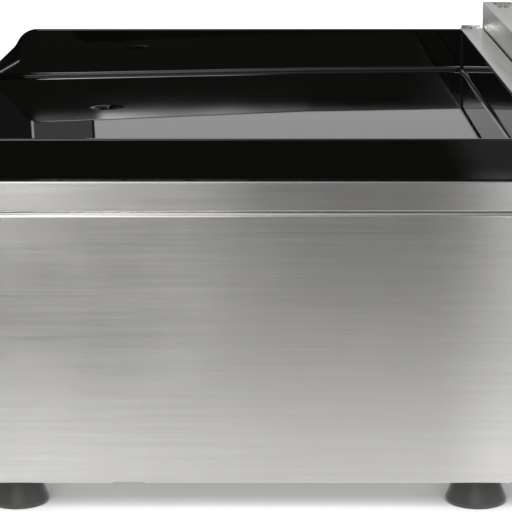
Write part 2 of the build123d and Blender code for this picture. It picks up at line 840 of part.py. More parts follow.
shield_top_z = underside_z(shield_y - sheet) - gap
shield_bottom_z = tray_z + sheet
with BuildPart() as heat_shield:
    with BuildSketch(Plane.XZ.offset(-shield_y)):
        with Locations((0, shield_bottom_z)):
            Rectangle(
                2 * (inner_half - sheet), shield_top_z - shield_bottom_z, align=(Align.CENTER, Align.MIN)
            )
        with Locations((-burner_x, control_z), (burner_x, control_z)):
            Circle(venturi_radius + gap, mode=Mode.SUBTRACT)
    extrude(amount=sheet)
    with BuildSketch(Plane.XY.offset(shield_bottom_z)):
        with Locations((0, shield_y)):
            Rectangle(2 * (inner_half - sheet), shield_foot, align=(Align.CENTER, Align.MIN))
    extrude(amount=sheet)
write_part(heat_shield, "heat_shield")

# ---------------------------------------------------------------- burners
leg_half = burner_leg_spread
port_middle_y = (burner_header_y + burner_end_y) / 2


def burner_tubes(x, shrink):
    """One burner's venturi, header and two closed legs, each made smaller by the same amount."""
    leg_radius = burner_radius - shrink
    with BuildPart() as tubes:
        with Locations(facing_rear(x, venturi_front_y - shrink, control_z)):
            Cylinder(venturi_radius - shrink, burner_header_y - venturi_front_y + shrink, align=STANDING)
        with Locations(Plane(origin=(x, burner_header_y, control_z), z_dir=(1, 0, 0))):
            Cylinder(header_radius - shrink, 2 * leg_half)
        for leg_x in (x - leg_half, x + leg_half):
            with Locations(facing_rear(leg_x, burner_header_y - leg_radius, control_z)):
                Cylinder(leg_radius, burner_end_y - burner_header_y + leg_radius - shrink, align=STANDING)
    return tubes.part


for side, sign in (("left", -1), ("right", 1)):
    with BuildPart() as burner:
        add(burner_tubes(sign * burner_x, 0))
        add(burner_tubes(sign * burner_x, burner_wall), mode=Mode.SUBTRACT)
        for leg_x in (sign * burner_x - leg_half, sign * burner_x + leg_half):
            with Locations((leg_x, port_middle_y, control_z)):
                with GridLocations(1, burner_port_pitch, 1, burner_port_count):
                    Cylinder(burner_port_radius, 2 * burner_radius, align=STANDING, mode=Mode.SUBTRACT)
    write_part(burner, f"burner_{side}")

for node, y, radius, spread in (
    ("burner_bracket_front", front_bracket_y, venturi_radius, (0,)),
    ("burner_bracket_rear", rear_bracket_y, burner_radius, (-leg_half, leg_half)),
):
    bracket_half = spread[-1] + radius + bracket_margin
    with BuildPart() as bracket:
        with BuildSketch(Plane.XZ.offset(-y)):
            for burner_middle in (-burner_x, burner_x):
                with Locations((burner_middle, shield_bottom_z)):
                    Rectangle(
                        2 * bracket_half, control_z - shield_bottom_z, align=(Align.CENTER, Align.MIN)
                    )
                with Locations(*[(burner_middle + shift, control_z) for shift in spread]):
                    Circle(radius + thread_gap, mode=Mode.SUBTRACT)
        extrude(amount=-bracket_wall)
        with BuildSketch(Plane.XY.offset(shield_bottom_z)):
            for burner_middle in (-burner_x, burner_x):
                for end in (-1, 1):
                    foot_middle_x = burner_middle + end * (bracket_half - bracket_margin / 2)
                    with Locations((foot_middle_x, y + bracket_foot / 2)):
                        Rectangle(bracket_margin, bracket_foot)
        extrude(amount=bracket_wall)
    write_part(bracket, node)

shelf_middle_y = pilot_y + bracket_wall + pilot_shelf_depth / 2
for side, sign in (("left", -1), ("right", 1)):
    middle_x = sign * burner_x
    with BuildPart() as pilot_bracket:
        with BuildSketch(Plane.YZ.offset(middle_x)):
            with BuildLine():
                Polyline(
                    (pilot_y, shield_bottom_z),
                    (pilot_y + pilot_shelf_depth, shield_bottom_z),
                    (pilot_y + pilot_shelf_depth, shield_bottom_z + bracket_wall),
                    (pilot_y + bracket_wall, shield_bottom_z + bracket_wall),
                    (pilot_y + bracket_wall, pilot_shelf_z - bracket_wall),
                    (pilot_y + pilot_shelf_depth, pilot_shelf_z - bracket_wall),
                    (pilot_y + pilot_shelf_depth, pilot_shelf_z),
                    (pilot_y, pilot_shelf_z),
                    close=True,
                )
            make_face()
        extrude(amount=2 * pilot_spacing, both=True)
        for offset_x, radius in (
            (-pilot_spacing, pilot_radius),
            (0, probe_radius),
            (pilot_spacing, electrode_radius),
        ):
            with Locations((middle_x + offset_x, shelf_middle_y, pilot_shelf_z)):
                Cylinder(radius + thread_gap, 3 * bracket_wall, mode=Mode.SUBTRACT)
    write_part(pilot_bracket, f"pilot_bracket_{side}")

    with BuildPart() as pilot_burner:
        with Locations((middle_x - pilot_spacing, shelf_middle_y, pilot_shelf_z)):
            Cylinder(pilot_radius, pilot_rise, align=STANDING)
            Cylinder(pilot_radius, pilot_tail, align=HANGING)
            Cylinder(pilot_radius + pipe_wall, 2 * pilot_radius, align=STANDING)
            with Locations((0, 0, -pilot_tail)):
                Cylinder(
                    pilot_radius - pipe_wall,
                    pilot_rise + pilot_tail - pipe_wall,
                    align=STANDING,
                    mode=Mode.SUBTRACT,
                )
    write_part(pilot_burner, f"pilot_burner_{side}")

    with BuildPart() as thermocouple:
        with Locations((middle_x, shelf_middle_y, pilot_shelf_z)):
            Cylinder(probe_radius, pilot_rise + probe_radius, align=STANDING)
            Cylinder(probe_radius, pilot_tail, align=HANGING)
            Cylinder(probe_radius + pipe_wall, probe_radius, align=STANDING)
        fillet(thermocouple.faces().sort_by(Axis.Z)[-1].edges(), probe_radius / 2)
    write_part(thermocouple, f"thermocouple_{side}")

    with BuildPart() as electrode:
        with Locations((middle_x + pilot_spacing, shelf_middle_y, pilot_shelf_z)):
            Cylinder(electrode_radius, pilot_rise / 2, align=STANDING)
            Cylinder(electrode_radius, pilot_tail, align=HANGING)
            Cylinder(electrode_radius + pipe_wall / 2, electrode_radius, align=STANDING)
            Cylinder(electrode_wire_radius, pilot_rise, align=STANDING)
    write_part(electrode, f"spark_electrode_{side}")

# ---------------------------------------------------------------- gas line
with BuildPart() as gas_manifold:
    manifold_left_x = -burner_x - manifold_end
    manifold_right_x = feed_x - feed_link
    with Locations(Plane(origin=(manifold_left_x, manifold_y, manifold_z), z_dir=(1, 0, 0))):
        Cylinder(manifold_radius, manifold_right_x - manifold_left_x, align=STANDING)
    for x in (-burner_x, burner_x):
        with Locations((x, manifold_y, manifold_z)):
            Cylinder(manifold_boss_radius, control_z - valve_height / 2 - manifold_z, align=STANDING)
            Cylinder(manifold_boss_radius / 2, manifold_drop, align=STANDING, mode=Mode.SUBTRACT)
    with Locations(Plane(origin=(manifold_left_x + pipe_wall, manifold_y, manifold_z), z_dir=(1, 0, 0))):
        Cylinder(
            manifold_radius - pipe_wall,
            manifold_right_x - manifold_left_x,
            align=STANDING,
            mode=Mode.SUBTRACT,
        )
write_part(gas_manifold, "gas_manifold")

inlet_inner_y = rear_y - sheet - inlet_nut_length
with BuildPart() as gas_feed_pipe:
    with BuildLine() as route:
        FilletPolyline(
            (feed_x, inlet_inner_y, inlet_z),
            (feed_x, manifold_y, inlet_z),
            (feed_x, manifold_y, manifold_z),
            (manifold_right_x, manifold_y, manifold_z),
            radius=feed_bend,
        )
    with BuildSketch(facing_front(feed_x, inlet_inner_y, inlet_z)):
        Circle(feed_radius)
        Circle(feed_radius - pipe_wall, mode=Mode.SUBTRACT)
    sweep(path=route.line)
write_part(gas_feed_pipe, "gas_feed_pipe")

with BuildPart() as gas_inlet:
    with BuildSketch(facing_rear(feed_x, rear_y, inlet_z)):
        RegularPolygon(inlet_collar_radius, 6)
    extrude(amount=inlet_collar_length)
    with Locations(facing_rear(feed_x, rear_y, inlet_z)):
        Cylinder(inlet_radius, front_overhang, align=STANDING)
        Cylinder(inlet_radius, sheet + inlet_nut_length, align=HANGING)
    with BuildSketch(facing_rear(feed_x, inlet_inner_y, inlet_z)):
        RegularPolygon(inlet_collar_radius, 6)
    extrude(amount=inlet_nut_length)
    with Locations(facing_rear(feed_x, inlet_inner_y, inlet_z)):
        Cylinder(feed_radius - pipe_wall, 4 * front_overhang, mode=Mode.SUBTRACT)
    thread_end = gas_inlet.faces().sort_by(Axis.Y)[-1].edges().sort_by(SortBy.RADIUS)[-1]
    chamfer(thread_end, pipe_wall / 2)
write_part(gas_inlet, "gas_inlet")

valve_bottom_z = control_z - valve_height / 2
for side, sign in (("left", -1), ("right", 1)):
    x = sign * burner_x
    with BuildPart() as gas_valve:
        with Locations((x, (valve_front_y + valve_rear_y) / 2, control_z)):
            Box(valve_width, valve_length, valve_height)
        fillet(gas_valve.edges().filter_by(Axis.Y), valve_width / 4)
        with Locations(facing_rear(x, valve_front_y, control_z)):
            Cylinder(
                plunger_radius + running_gap,
                plunger_length + plunger_room - plunger_proud,
                align=STANDING,
                mode=Mode.SUBTRACT,
            )
            Cylinder(injector_radius / 2, valve_length, align=STANDING, mode=Mode.SUBTRACT)
        with Locations((x, manifold_y, valve_bottom_z)):
            Cylinder(manifold_boss_radius / 2, valve_height / 2, align=STANDING, mode=Mode.SUBTRACT)
    write_part(gas_valve, f"gas_valve_{side}")

    with BuildPart() as injector:
        with BuildSketch(facing_rear(x, valve_rear_y, control_z)):
            RegularPolygon(injector_radius * 1.4, 6)
        extrude(amount=injector_length / 2)
        with Locations(facing_rear(x, valve_rear_y, control_z)):
            Cone(injector_radius, injector_radius * 0.7, injector_length, align=STANDING)
            Cylinder(injector_bore, 3 * injector_length, mode=Mode.SUBTRACT)
    write_part(injector, f"injector_{side}")

    plunger_front_y = valve_front_y - plunger_proud
    with BuildPart() as valve_plunger:
        with Locations(facing_rear(x, plunger_front_y, control_z)):
            Cylinder(plunger_radius, plunger_length, align=STANDING)
            Cylinder(stem_radius + running_gap, plunger_length, align=STANDING, mode=Mode.SUBTRACT)
    write_part(valve_plunger, f"valve_plunger_{side}")

    stem_front_y = knob_back_y - stem_in_knob
    stem_rear_y = plunger_front_y + plunger_length - stem_radius / 2
    with BuildPart() as valve_stem:
        with Locations(facing_rear(x, stem_front_y, control_z)):
            Cylinder(stem_radius, stem_rear_y - stem_front_y, align=STANDING)
            with Locations((0, stem_radius * 1.5, 0)):
                Box(4 * stem_radius, stem_radius * 2, stem_in_knob, align=STANDING, mode=Mode.SUBTRACT)
    write_part(valve_stem, f"valve_stem_{side}")

    knob_length = knob_back_y - knob_front_y
    grip_length = knob_length - knob_skirt_height
    with BuildPart() as knob:
        with BuildSketch(facing_front(x, knob_back_y, control_z)):
            Circle(knob_skirt_radius)
        extrude(amount=knob_skirt_height)
        fillet(knob.faces().sort_by(Axis.Y)[0].edges(), knob_skirt_height / 3)
        with BuildSketch(facing_front(x, knob_back_y - knob_skirt_height / 2, control_z)):
            SlotOverall(2 * knob_radius, knob_grip_width, rotation=90)
        extrude(amount=knob_length - knob_skirt_height / 2, taper=knob_taper)
        fillet(knob.faces().sort_by(Axis.Y)[0].edges(), knob_grip_width / 6)
        with Locations(facing_front(x, knob_front_y, control_z + knob_radius * 0.6)):
            Box(pointer_width, knob_radius * 0.6, 2 * pointer_depth, mode=Mode.SUBTRACT)
        with Locations(facing_front(x, knob_back_y, control_z)):
            Cylinder(stem_radius + thread_gap, stem_in_knob, align=STANDING, mode=Mode.SUBTRACT)
    write_part(knob, f"knob_{side}")

    with BuildPart() as knob_bezel:
        with BuildSketch(facing_front(x, front_y, control_z)):
            Circle(bezel_radius)
            Circle(plunger_radius + gap, mode=Mode.SUBTRACT)
        extrude(amount=bezel_thickness)
        bezel_edge = knob_bezel.faces().sort_by(Axis.Y)[0].edges().sort_by(SortBy.RADIUS)[-1]
        fillet(bezel_edge, bezel_thickness / 2)
    write_part(knob_bezel, f"knob_bezel_{side}")

# ---------------------------------------------------------------- spark igniter
with BuildPart() as igniter_body:
    with Locations(facing_rear(0, front_y - igniter_flange_thickness, control_z)):
        Cylinder(igniter_flange, igniter_flange_thickness, align=STANDING)
        Cylinder(igniter_radius, igniter_length, align=STANDING)
    fillet(igniter_body.faces().sort_by(Axis.Y)[0].edges(), igniter_flange_thickness / 3)
    with Locations(facing_rear(0, front_y - igniter_flange_thickness, control_z)):
        Cylinder(igniter_button_radius + running_gap, igniter_bore_depth, align=STANDING, mode=Mode.SUBTRACT)
write_part(igniter_body, "igniter_body")

with BuildPart() as igniter_nut:
    with BuildSketch(facing_rear(0, front_y + sheet, control_z)):
        RegularPolygon(igniter_flange, 6)
        Circle(igniter_radius + thread_gap, mode=Mode.SUBTRACT)
    extrude(amount=igniter_nut_thickness)
write_part(igniter_nut, "igniter_nut")

with BuildPart() as igniter_button:
    with Locations(facing_rear(0, front_y - igniter_reach, control_z)):
        button_length = igniter_reach - igniter_flange_thickness + igniter_bore_depth - 2 * igniter_travel
        Cylinder(igniter_button_radius, button_length, align=STANDING)
    fillet(igniter_button.faces().sort_by(Axis.Y)[0].edges(), igniter_button_radius / 4)
write_part(igniter_button, "igniter_button")

# ---------------------------------------------------------------- grease drawer
drawer_front_y = front_y - gap
drawer_box_length = drawer_rear_y - drawer_front_y
with BuildPart() as grease_drawer:
    with Locations((0, drawer_front_y + drawer_box_length / 2, drawer_bottom_z)):
        Box(drawer_width, drawer_box_length, drawer_height, align=STANDING)
    fillet(grease_drawer.edges().filter_by(Axis.Z), 2 * drawer_wall)
    offset(amount=-drawer_wall, openings=grease_drawer.faces().sort_by(Axis.Z)[-1])
write_part(grease_drawer, "grease_drawer")

drawer_front_height = drawer_height + 2 * drawer_front_margin
drawer_front_middle_z = drawer_bottom_z + drawer_height / 2
drawer_face_y = drawer_front_y - drawer_front_thickness
with BuildPart() as drawer_front:
    with BuildSketch(Plane.XZ.offset(-drawer_front_y)):
        with Locations((0, drawer_front_middle_z)):
            RectangleRounded(
                drawer_width + 2 * drawer_front_margin, drawer_front_height, drawer_clearance
            )
    extrude(amount=drawer_front_thickness)
write_part(drawer_front, "drawer_front")

with BuildPart() as drawer_handle:
    with BuildLine() as handle_route:
        FilletPolyline(
            (-handle_span / 2, drawer_face_y, drawer_front_middle_z),
            (-handle_span / 2, knob_front_y + handle_radius, drawer_front_middle_z),
            (handle_span / 2, knob_front_y + handle_radius, drawer_front_middle_z),
            (handle_span / 2, drawer_face_y, drawer_front_middle_z),
            radius=handle_bend,
        )
    with BuildSketch(facing_front(-handle_span / 2, drawer_face_y, drawer_front_middle_z)):
        Circle(handle_radius)
    sweep(path=handle_route.line)
write_part(drawer_handle, "drawer_handle")

runner_front_y = front_y + sheet + gap
runner_rear_y = drawer_rear_y + gap + sheet
for side, sign in (("left", -1), ("right", 1)):
    with BuildPart() as drawer_runner:
        with BuildSketch(Plane.XZ.offset(-runner_front_y)):
            web_x = sign * (drawer_width / 2 + drawer_clearance + sheet / 2)
            with Locations((web_x, base_top_z)):
                Rectangle(
                    sheet, drawer_opening_z + runner_guide - base_top_z, align=(Align.CENTER, Align.MIN)
                )
            with Locations((web_x + sign * runner_foot / 2, base_top_z + sheet / 2)):
                Rectangle(runner_foot, sheet)
            shelf_x = web_x - sign * (runner_shelf + drawer_clearance) / 2
            with Locations((shelf_x, drawer_opening_z - sheet / 2)):
                Rectangle(runner_shelf + drawer_clearance, sheet)
        extrude(amount=runner_front_y - runner_rear_y)
        with BuildSketch(Plane.XZ.offset(-runner_rear_y)):
            with Locations((shelf_x, drawer_opening_z)):
                Rectangle(
                    runner_shelf + drawer_clearance, runner_guide, align=(Align.CENTER, Align.MIN)
                )
        extrude(amount=sheet)
    write_part(drawer_runner, f"drawer_runner_{side}")
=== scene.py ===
"""Looks of the counter-top gas griddle: materials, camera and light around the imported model."""

from math import pi, radians

import bpy
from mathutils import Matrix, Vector


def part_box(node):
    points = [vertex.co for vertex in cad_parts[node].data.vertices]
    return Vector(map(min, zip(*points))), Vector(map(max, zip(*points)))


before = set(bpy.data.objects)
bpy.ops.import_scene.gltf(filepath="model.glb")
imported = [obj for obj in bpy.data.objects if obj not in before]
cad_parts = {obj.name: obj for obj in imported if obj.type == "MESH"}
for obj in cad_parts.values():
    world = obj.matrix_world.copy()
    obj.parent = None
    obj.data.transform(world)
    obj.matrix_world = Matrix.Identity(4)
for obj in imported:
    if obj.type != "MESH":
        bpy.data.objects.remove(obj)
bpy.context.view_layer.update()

scene = bpy.context.scene


# ---------------------------------------------------------------- node graphs
class Graph:
    """The node tree of one material, and short ways to add what feeds its surface."""

    def __init__(self, name):
        self.material = bpy.data.materials.new(name)
        self.material.use_nodes = True
        self.tree = self.material.node_tree

    def add(self, kind):
        return self.tree.nodes.new(kind)

    def link(self, source, target):
        self.tree.links.new(source, target)

    def feed(self, socket, value):
        """Sets a socket to a number, or links what gives it one."""
        if isinstance(value, (int, float)):
            socket.default_value = value
        else:
            self.link(value, socket)

    def place(self):
        """The X, Y and Z of the object's own metres."""
        parts = self.add("ShaderNodeSeparateXYZ")
        self.link(self.add("ShaderNodeTexCoord").outputs["Object"], parts.inputs["Vector"])
        return [parts.outputs[axis] for axis in "XYZ"]

    def ramp(self, value, low, high, to_low, to_high, smooth=True):
        """Maps one range of a value to another, and clamps it."""
        node = self.add("ShaderNodeMapRange")
        node.interpolation_type = "SMOOTHSTEP" if smooth else "LINEAR"
        node.inputs["From Min"].default_value = low
        node.inputs["From Max"].default_value = high
        node.inputs["To Min"].default_value = to_low
        node.inputs["To Max"].default_value = to_high
        self.link(value, node.inputs["Value"])
        return node.outputs["Result"]

    def spread(self, value, low, high, to_low, to_high):
        """A ramp without rounded ends."""
        return self.ramp(value, low, high, to_low, to_high, smooth=False)

    def calculate(self, operation, first, second=0):
        node = self.add("ShaderNodeMath")
        node.operation = operation
        self.feed(node.inputs[0], first)
        self.feed(node.inputs[1], second)
        return node.outputs["Value"]

    def product(self, first, *others):
        for other in others:
            first = self.calculate("MULTIPLY", first, other)
        return first

    def total(self, first, *others):
        for other in others:
            first = self.calculate("ADD", first, other)
        return first

    def past(self, value, reach):
        """How far a coordinate is past a reach, on either side of the middle."""
        return self.calculate("SUBTRACT", self.calculate("ABSOLUTE", value), reach)


# Blender's noise lies mostly between these values.
NOISE_LOW = 0.3
NOISE_HIGH = 0.7


class Finish(Graph):
    """The node material of a part's surface, on a Principled shader."""

    def __init__(self, name, **constants):
        super().__init__(name)
        self.surface = self.tree.nodes["Principled BSDF"]
        for socket, value in constants.items():
            self.surface.inputs[socket.replace("_", " ")].default_value = value

    def noise(self, stretch, detail=3.0, roughness=0.55, shift=(0, 0, 0)):
        """Noise over the object's own metres, with its cells per metre along each axis."""
        mapping = self.add("ShaderNodeMapping")
        mapping.inputs["Scale"].default_value = stretch
        mapping.inputs["Location"].default_value = shift
        self.link(self.add("ShaderNodeTexCoord").outputs["Object"], mapping.inputs["Vector"])
        texture = self.add("ShaderNodeTexNoise")
        texture.inputs["Scale"].default_value = 1.0
        texture.inputs["Detail"].default_value = detail
        texture.inputs["Roughness"].default_value = roughness
        self.link(mapping.outputs["Vector"], texture.inputs["Vector"])
        return texture.outputs["Fac"]

    def grain(self, cells, detail=4.0):
        """Noise that is the same in all directions."""
        return self.noise((cells, cells, cells), detail=detail)

    def mix(self, value, dark, light):
        """A colour between two others, by a value from 0 to 1."""
        node = self.add("ShaderNodeMix")
        node.data_type = "RGBA"
        for socket, colour in ((node.inputs["A"], dark), (node.inputs["B"], light)):
            if isinstance(colour, tuple):
                socket.default_value = (*colour, 1)
            else:
                self.link(colour, socket)
        self.link(value, node.inputs["Factor"])
        return node.outputs["Result"]

    def bump(self, height, strength, distance, under=None):
        node = self.add("ShaderNodeBump")
        node.inputs["Strength"].default_value = strength
        node.inputs["Distance"].default_value = distance
        self.link(height, node.inputs["Height"])
        if under is not None:
            self.link(under, node.inputs["Normal"])
        return node.outputs["Normal"]

    def bulge(self, low, high, slope):
        """Metres by which a sheet stands out, from none at one height to a slope at another."""
        risen = self.spread(self.place()[2], low, high, 0, 1)
        return self.product(risen, risen, -0.5 * slope * (high - low))

    def supply(self, socket, value):
        self.link(value, self.surface.inputs[socket])

    def vary(self, noise, dark, light, smooth, rough):
        """Lets one noise change the colour between two, and the roughness between two."""
        self.supply("Base Color", self.mix(noise, dark, light))
        self.supply("Roughness", self.spread(noise, NOISE_LOW, NOISE_HIGH, smooth, rough))


def paint(finish, *names):
    """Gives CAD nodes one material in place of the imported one."""
    for name in names:
        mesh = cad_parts[name].data
        mesh.materials.clear()
        mesh.materials.append(finish.material)


# ---------------------------------------------------------------- brushed steel
# Cells of noise per metre, across the brushing and along it.
HAIR_CELLS = 900
HAIR_LENGTH_CELLS = 9
STREAK_CELLS = 260
STREAK_LENGTH_CELLS = 7
CLOUD_CELLS = 22
DARKEST_BRUSHING = 0.91
ROUGHNESS_CHANGE = 0.02
HAIR_HEIGHT = 0.00004
# What is left of the roughness where the steel is polished.
POLISH = 0.12
STEEL = (0.637, 0.628, 0.616)


def brushed(
    name,
    along,
    light,
    roughness,
    anisotropy=0.85,
    radial="Z",
    bulge=None,
    polished=None,
):
    """Brushed stainless steel whose fine lines run along one axis.

    A bulge is the range of heights and the slope of a sheet that isn't quite flat. Polished is
    the range of heights over which the steel turns from brushed to nearly smooth.
    """
    steel = Finish(name, Metallic=1.0, Anisotropic=anisotropy, Anisotropic_Rotation=0.25)

    def lines(across_cells, along_cells):
        return tuple(along_cells if axis == along else across_cells for axis in "XYZ")

    hair = steel.noise(lines(HAIR_CELLS, HAIR_LENGTH_CELLS), detail=4, roughness=0.7)
    streak = steel.noise(lines(STREAK_CELLS, STREAK_LENGTH_CELLS), detail=2, shift=(3, 1, 2))
    cloud = steel.noise((CLOUD_CELLS,) * 3, detail=4, roughness=0.6)
    both = steel.total(steel.product(hair, 0.6), steel.product(streak, 0.4))
    tone = steel.total(steel.product(both, 0.7), steel.product(cloud, 0.3))
    dark = tuple(channel * DARKEST_BRUSHING for channel in light)
    steel.supply("Base Color", steel.mix(steel.spread(tone, 0.35, 0.65, 0, 1), dark, light))
    rough = steel.spread(
        tone, NOISE_LOW, NOISE_HIGH, roughness - ROUGHNESS_CHANGE, roughness + ROUGHNESS_CHANGE
    )
    if polished:
        rough = steel.product(rough, steel.spread(steel.place()[2], *polished, 1.0, POLISH))
    steel.supply("Roughness", rough)
    formed = steel.bump(steel.bulge(*bulge), 1.0, 1.0) if bulge else None
    steel.supply("Normal", steel.bump(hair, 0.2, HAIR_HEIGHT, under=formed))
    tangent = steel.add("ShaderNodeTangent")
    tangent.direction_type = "RADIAL"
    tangent.axis = radial
    steel.link(tangent.outputs["Tangent"], steel.surface.inputs["Tangent"])
    return steel


panel_steel = brushed(
    "panel_steel",
    "Y",
    STEEL,
    roughness=0.168,
    anisotropy=0.96,
    bulge=(0.14, 0.193, -0.014),
)
collar_steel = brushed(
    "collar_steel",
    "Y",
    (0.578, 0.569, 0.557),
    roughness=0.195,
    anisotropy=0.96,
    polished=(0.2108, 0.2114),
)
front_steel = brushed("front_steel", "X", STEEL, roughness=0.34)
strip_steel = brushed("strip_steel", "X", (0.5, 0.49, 0.47), roughness=0.18)
flue_steel = brushed("flue_steel", "X", (0.6, 0.587, 0.565), roughness=0.26)
cover_steel = brushed("cover_steel", "X", (0.42, 0.41, 0.395), roughness=0.3, radial="Y")
inner_steel = brushed("inner_steel", "X", (0.5, 0.5, 0.49), roughness=0.42, anisotropy=0.3)
burner_steel = brushed("burner_steel", "Y", (0.4, 0.39, 0.37), roughness=0.5, anisotropy=0.2)
bright_steel = brushed("bright_trim", "X", (0.78, 0.775, 0.76), roughness=0.16, anisotropy=0.2)


# ---------------------------------------------------------------- other materials
# The pan's enamel is a little less smooth high on its walls than on its floor.
WALL_START_Z = 0.208
WALL_FULL_Z = 0.214
WALL_ROUGHNESS = 0.008
enamel = Finish("black_enamel", IOR=1.6)
wave = enamel.grain(14, detail=2)
enamel.supply(
    "Base Color",
    enamel.mix(enamel.grain(700, detail=2), (0.0008, 0.0008, 0.0006), (0.002, 0.002, 0.0016)),
)
enamel.supply(
    "Roughness",
    enamel.total(
        enamel.spread(wave, NOISE_LOW, NOISE_HIGH, 0.018, 0.03),
        enamel.spread(enamel.place()[2], WALL_START_Z, WALL_FULL_Z, 0.0, WALL_ROUGHNESS),
    ),
)
enamel.supply("Normal", enamel.bump(wave, 0.05, 0.0003))

rubber = Finish("foot_rubber", IOR=1.5)
pores = rubber.grain(1500)
rubber.vary(pores, (0.019, 0.019, 0.018), (0.038, 0.037, 0.036), 0.34, 0.46)
rubber.supply("Normal", rubber.bump(pores, 0.3, 0.0001))

fastener = Finish("fastener_steel", Metallic=1.0)
fastener.vary(fastener.grain(600), (0.36, 0.355, 0.34), (0.6, 0.59, 0.56), 0.25, 0.45)

brass = Finish("brass", Metallic=1.0)
brass.vary(brass.grain(900), (0.5, 0.36, 0.15), (0.72, 0.55, 0.28), 0.22, 0.42)

copper = Finish("copper_probe", Metallic=1.0)
copper.vary(copper.grain(300, detail=5), (0.4, 0.2, 0.12), (0.68, 0.4, 0.26), 0.3, 0.55)

ceramic = Finish("white_ceramic")
ceramic.vary(ceramic.grain(500, detail=3), (0.72, 0.69, 0.62), (0.84, 0.82, 0.77), 0.15, 0.3)

button = Finish("button_plastic")
button.vary(button.grain(900, detail=3), (0.3, 0.012, 0.01), (0.42, 0.022, 0.016), 0.2, 0.34)


def black_plastic(name):
    """Moulded black plastic with a fine grain, and the noise of that grain."""
    plastic = Finish(name)
    mould = plastic.grain(1800)
    plastic.vary(mould, (0.012, 0.012, 0.012), (0.024, 0.024, 0.023), 0.32, 0.46)
    plastic.supply("Normal", plastic.bump(mould, 0.2, 0.00008))
    return plastic


plain_plastic = black_plastic("black_plastic")

# The knobs carry a pale line on one half of the grip, so that a turned knob can be told.
LINE_HALF_WIDTH = 0.0008
LINE_EDGE = 0.0003
LINE_START = 0.008
knob_low, knob_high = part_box("knob_right")
knob_x = (knob_low[0] + knob_high[0]) / 2
knob_z = (knob_low[2] + knob_high[2]) / 2
knob_plastic = black_plastic("knob_plastic")
knob_base = knob_plastic.surface.inputs["Base Color"].links[0].from_socket
spot_x, _, spot_z = knob_plastic.place()
line = knob_plastic.product(
    knob_plastic.spread(
        knob_plastic.calculate("ABSOLUTE", knob_plastic.past(spot_x, knob_x)),
        LINE_HALF_WIDTH,
        LINE_HALF_WIDTH + LINE_EDGE,
        1,
        0,
    ),
    knob_plastic.spread(spot_z, knob_z + LINE_START, knob_z + LINE_START + LINE_EDGE, 0, 1),
)
knob_plastic.supply("Base Color", knob_plastic.mix(line, knob_base, (0.72, 0.71, 0.69)))

paint(panel_steel, "side_panel_left", "side_panel_right")
paint(front_steel, "control_fascia", "rear_panel", "drawer_front")
paint(collar_steel, "top_collar")
paint(strip_steel, "rear_ledge")
paint(flue_steel, "flue_box")
paint(cover_steel, "flue_cover")
paint(bright_steel, "knob_bezel_left", "knob_bezel_right", "drawer_handle")
paint(
    inner_steel,
    "base_tray",
    "corner_posts",
    "heat_tray",
    "heat_shield",
    "flue_deflector",
    "drain_chute",
    "drawer_runner_left",
    "drawer_runner_right",
    "pan_rail_front",
    "pan_rail_rear",
    "grease_drawer",
    "burner_bracket_front",
    "burner_bracket_rear",
    "pilot_bracket_left",
    "pilot_bracket_right",
)
paint(burner_steel, "burner_left", "burner_right", "gas_feed_pipe", "gas_manifold")
paint(
    fastener,
    "case_screws",
    "flue_cover_screws",
    "foot_screws",
    "pan_nuts",
    "igniter_nut",
)
paint(enamel, "griddle_pan")
paint(rubber, "foot_front_left", "foot_front_right", "foot_rear_left", "foot_rear_right")
paint(
    brass,
    "gas_inlet",
    "gas_valve_left",
    "gas_valve_right",
    "injector_left",
    "injector_right",
    "valve_plunger_left",
    "valve_plunger_right",
    "valve_stem_left",
    "valve_stem_right",
    "pilot_burner_left",
    "pilot_burner_right",
)
paint(copper, "thermocouple_left", "thermocouple_right")
paint(ceramic, "spark_electrode_left", "spark_electrode_right")
paint(plain_plastic, "igniter_body")
paint(knob_plastic, "knob_left", "knob_right")
paint(button, "igniter_button")


# ---------------------------------------------------------------- studio
class Light(Graph):
    """The node material of a studio surface, which gives off light."""

    def __init__(self, name):
        super().__init__(name)
        self.tree.nodes.clear()
        self.x, self.y, self.z = self.place()
        self.rays = self.add("ShaderNodeLightPath").outputs

    def emit(self, strength):
        emission = self.add("ShaderNodeEmission")
        self.feed(emission.inputs["Strength"], strength)
        return emission.outputs["Emission"]

    def choose(self, factor, first, second):
        """One surface where a factor is 0, and another where it is 1."""
        mixed = self.add("ShaderNodeMixShader")
        self.link(factor, mixed.inputs["Fac"])
        self.link(first, mixed.inputs[1])
        self.link(second, mixed.inputs[2])
        return mixed.outputs["Shader"]

    def by_depth(self, first, later):
        """One strength for a surface's own reflection, and one for what two surfaces reflect."""
        depth = self.spread(self.rays["Ray Depth"], 1.0, 2.0, 0.0, 1.0)
        return self.choose(depth, self.emit(first), self.emit(later))

    def finish(self, surface, lamp=False):
        """Gives the material its surface. What isn't a lamp is met only by rays that go its way."""
        output = self.add("ShaderNodeOutputMaterial")
        self.link(surface, output.inputs["Surface"])
        if not lamp:
            self.material.cycles.emission_sampling = "NONE"
        return self.material


def flat_card(name, corners, material):
    """One flat rectangle of the studio, which isn't part of the griddle."""
    mesh = bpy.data.meshes.new(name)
    mesh.from_pydata(corners, [], [tuple(range(len(corners)))])
    mesh.materials.append(material)
    card = bpy.data.objects.new(name, mesh)
    scene.collection.objects.link(card)
    return card


def wall_x(name, x, ys, zs, material):
    """A card across the X axis that the camera doesn't see."""
    corners = [(x, ys[0], zs[0]), (x, ys[0], zs[1]), (x, ys[1], zs[1]), (x, ys[1], zs[0])]
    flat_card(name, corners, material).visible_camera = False


def wall_y(name, y, xs, zs, material):
    """A card across the Y axis that the camera doesn't see."""
    corners = [(xs[0], y, zs[0]), (xs[1], y, zs[0]), (xs[1], y, zs[1]), (xs[0], y, zs[1])]
    flat_card(name, corners, material).visible_camera = False


